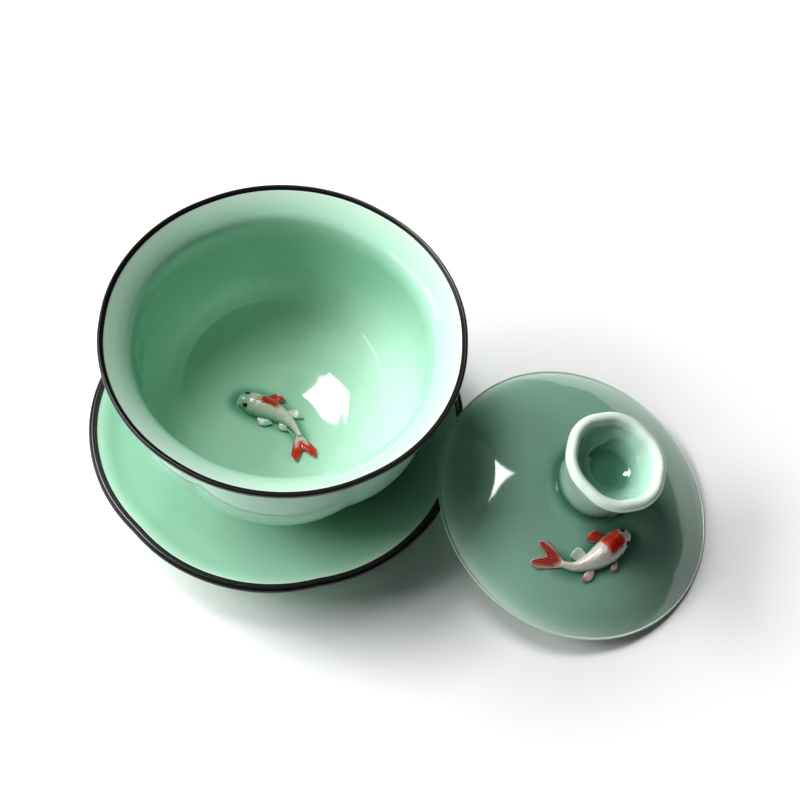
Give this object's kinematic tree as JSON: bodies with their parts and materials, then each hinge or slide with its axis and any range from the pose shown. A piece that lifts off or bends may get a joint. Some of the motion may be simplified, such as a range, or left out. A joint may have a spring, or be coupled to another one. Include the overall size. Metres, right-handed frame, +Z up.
{
  "type": "gaiwan",
  "caption": "Lobed porcelain tea bowl on its saucer, celadon-glazed with iron-black lips. Its lid leans on the saucer's rim, and a small koi is modelled on the lid and on the bowl's floor.",
  "frame": {"origin": "On the table, in the middle of the footprint of the whole setting: saucer, bowl and the lid beside them.", "axes": "+Z is up. +X runs from the saucer towards the lid that leans on it. +Y is away from the side the setting is seen from."},
  "size_m": [0.1884, 0.1116, 0.0635],
  "materials": {
    "celadon_glaze": "glossy translucent blue-green glaze",
    "iron_black_glaze": "glossy iron-black glaze",
    "bare_porcelain": "unglazed fired clay, matte",
    "koi_white": "glossy white underglaze colour",
    "koi_red": "glossy vermilion underglaze colour"
  },
  "bodies": {
    "saucer": {"saucer_dish": "celadon_glaze", "saucer_foot_ring": "bare_porcelain", "saucer_rim_band": "iron_black_glaze"},
    "bowl": {"bowl_body": "celadon_glaze", "bowl_foot_ring": "bare_porcelain", "bowl_rim_band": "iron_black_glaze", "bowl_koi_body": "koi_white", "bowl_koi_tail_fin": "koi_red", "bowl_koi_right_pectoral_fin": "koi_red", "bowl_koi_right_pelvic_fin": "koi_white", "bowl_koi_left_pectoral_fin": "koi_white", "bowl_koi_left_pelvic_fin": "koi_white"},
    "lid": {"lid_dome": "celadon_glaze", "lid_knob": "celadon_glaze", "lid_koi_body": "koi_white", "lid_koi_tail_fin": "koi_red", "lid_koi_right_pectoral_fin": "koi_white", "lid_koi_right_pelvic_fin": "koi_white", "lid_koi_left_pectoral_fin": "koi_red", "lid_koi_left_pelvic_fin": "koi_white"}
  },
  "joints": [
    {"name": "bowl_lift", "type": "slide", "parent": "saucer", "child": "bowl", "axis": [0, 0, 1], "range_m": [0, 0.08]},
    {"name": "lid_lift", "type": "slide", "parent": "saucer", "child": "lid", "axis": [0.2117, -0.045, 0.9763], "range_m": [0, 0.1]}
  ]
}
